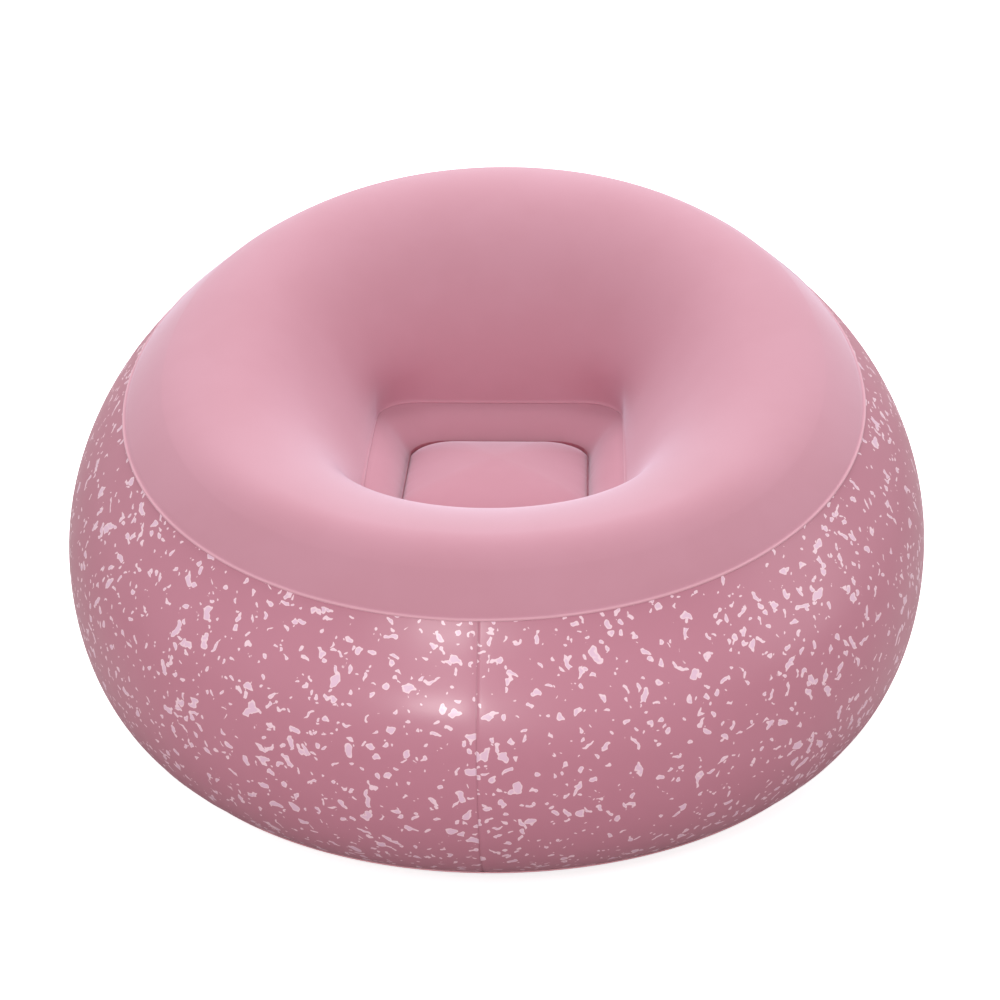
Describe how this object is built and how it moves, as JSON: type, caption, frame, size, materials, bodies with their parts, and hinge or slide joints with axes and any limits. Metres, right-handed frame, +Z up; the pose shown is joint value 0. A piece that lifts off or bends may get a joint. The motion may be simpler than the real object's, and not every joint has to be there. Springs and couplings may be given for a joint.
{
  "type": "inflatable armchair",
  "caption": "Round inflatable lounge chair with a raised backrest, a square seat well with a pillow, and a screw valve at the back.",
  "frame": {"origin": "centre of the chair's outline on the floor", "axes": "+Z up; the sitter faces -Y, so the backrest and the valve are on the +Y side; +X is the sitter's left"},
  "size_m": [1.12, 1.12, 0.6642],
  "materials": {
    "top_sheet": "matt, velvet-like PVC sheet",
    "seat_panel": "matt, velvet-like PVC sheet",
    "side_panel_left": "satin PVC sheet printed with pale chips",
    "side_panel_right": "satin PVC sheet printed with pale chips",
    "base_sheet": "plain satin PVC sheet",
    "seat_baffle": "plain PVC sheet",
    "valve_base": "soft, milky PVC",
    "valve_seal": "matt",
    "valve_insert": "moulded, satin",
    "flap_pin": "bright wire",
    "check_flap": "matt",
    "tether_ring": "soft, milky PVC",
    "valve_cap": "moulded, satin"
  },
  "bodies": {
    "air_body": {"top_sheet": "top_sheet", "seat_panel": "seat_panel", "side_panel_left": "side_panel_left", "side_panel_right": "side_panel_right", "base_sheet": "base_sheet", "seat_baffle": "seat_baffle", "valve_base": "valve_base"},
    "seal": {"valve_seal": "valve_seal"},
    "insert": {"valve_insert": "valve_insert", "flap_pin": "flap_pin", "tether_ring": "tether_ring"},
    "flap": {"check_flap": "check_flap"},
    "cap": {"valve_cap": "valve_cap"}
  },
  "joints": [
    {"name": "valve_lift", "type": "slide", "parent": "air_body", "child": "seal", "axis": [-0.1877, 0.9657, -0.1795], "range_m": [0, 0.011]},
    {"name": "valve_turn", "type": "hinge", "parent": "seal", "child": "insert", "pos_m": [-0.10544, 0.54246, 0.21134], "axis": [-0.1877, 0.9657, -0.1795], "range_deg": [0, 330]},
    {"name": "flap_hinge", "type": "hinge", "parent": "insert", "child": "flap", "pos_m": [-0.10399, 0.53497, 0.22188], "axis": [-0.9816, -0.1908, 0], "range_deg": [0, 50], "stiffness_Nm_per_rad": 0.001, "springref_deg": -5.73},
    {"name": "cap_hinge", "type": "hinge", "parent": "insert", "child": "cap", "pos_m": [-0.108, 0.5556, 0.2276], "axis": [0.9816, 0.1908, 0], "range_deg": [0, 150]}
  ],
  "couplings": [
    {"joint": "valve_turn", "follows": "valve_lift", "rad_per_m": 523.6}
  ]
}
